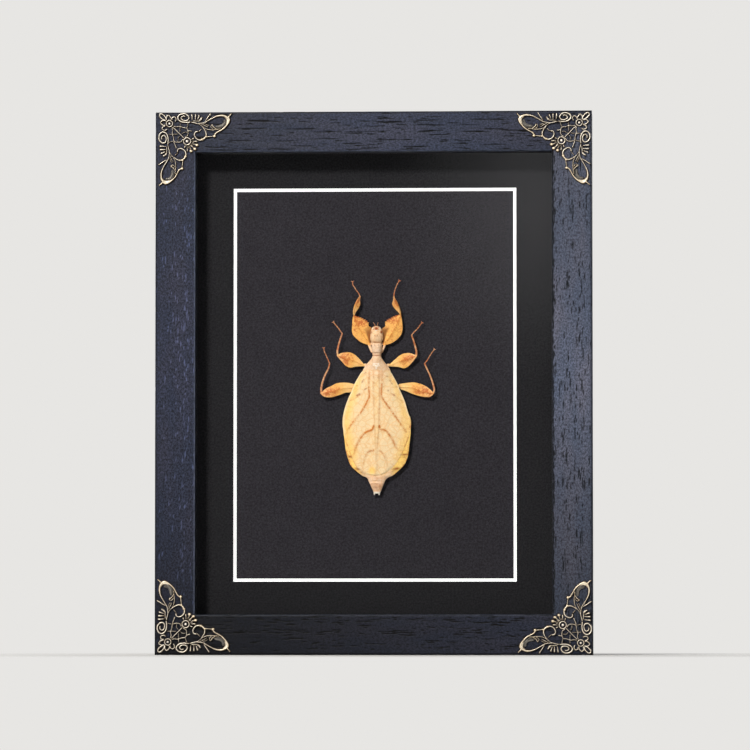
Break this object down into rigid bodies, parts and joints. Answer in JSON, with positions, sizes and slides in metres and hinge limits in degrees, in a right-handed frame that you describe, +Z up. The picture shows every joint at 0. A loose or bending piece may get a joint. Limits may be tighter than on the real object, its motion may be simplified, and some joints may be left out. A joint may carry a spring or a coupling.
{
  "type": "framed leaf insect",
  "caption": "Dried leaf insect mounted on dark card behind a window mat, in a deep glazed wooden box frame with filigree brass corner plates; stands on its foot rail.",
  "frame": {"origin": "centre of the foot print, on the surface that the frame stands on", "axes": "+Z up the frame, +X to the right as the glass is looked at, +Y from the glass to the back"},
  "size_m": [0.204, 0.034, 0.2535],
  "materials": {
    "stained_wood": "black stain on open grain, satin",
    "glass": "clear and polished",
    "spacer_board": "black paper wrap, matte",
    "mat_board": "black paper face, white core at the bevel, matte",
    "mount_card": "fine felted texture, matte",
    "fibreboard": "smooth pressed board",
    "zinc_steel": "dull zinc plate",
    "antique_brass": "antiqued, polished on the high lines",
    "pin_brass": "bright domed head",
    "insect_body": "dry cuticle",
    "insect_wing": "dry veined membrane, faint sheen",
    "insect_limb": "dry leafy cuticle"
  },
  "bodies": {
    "root": {"rail_top": "stained_wood", "rail_bottom": "stained_wood", "stile_left": "stained_wood", "stile_right": "stained_wood", "glass_pane": "glass", "spacer_top": "spacer_board", "spacer_bottom": "spacer_board", "spacer_left": "spacer_board", "spacer_right": "spacer_board", "window_mat": "mat_board", "mount_card": "mount_card", "back_panel": "fibreboard", "back_tab_1": "zinc_steel", "back_tab_2": "zinc_steel", "back_tab_3": "zinc_steel", "back_tab_4": "zinc_steel", "back_tab_5": "zinc_steel", "back_tab_6": "zinc_steel", "hanger_plate": "zinc_steel", "hanger_nail_left": "zinc_steel", "hanger_nail_right": "zinc_steel", "corner_top_left": "antique_brass", "corner_top_right": "antique_brass", "corner_bottom_left": "antique_brass", "corner_bottom_right": "antique_brass", "pin_top_left_outer": "pin_brass", "pin_top_left_inner": "pin_brass", "pin_top_right_outer": "pin_brass", "pin_top_right_inner": "pin_brass", "pin_bottom_left_outer": "pin_brass", "pin_bottom_left_inner": "pin_brass", "pin_bottom_right_outer": "pin_brass", "pin_bottom_right_inner": "pin_brass", "insect_body": "insect_body", "forewing_left": "insect_wing", "forewing_right": "insect_wing", "fore_leg_left": "insect_limb", "fore_leg_right": "insect_limb", "mid_leg_left": "insect_limb", "mid_leg_right": "insect_limb", "hind_leg_left": "insect_limb", "hind_leg_right": "insect_limb", "antenna_left": "insect_limb", "antenna_right": "insect_limb"}
  },
  "joints": []
}
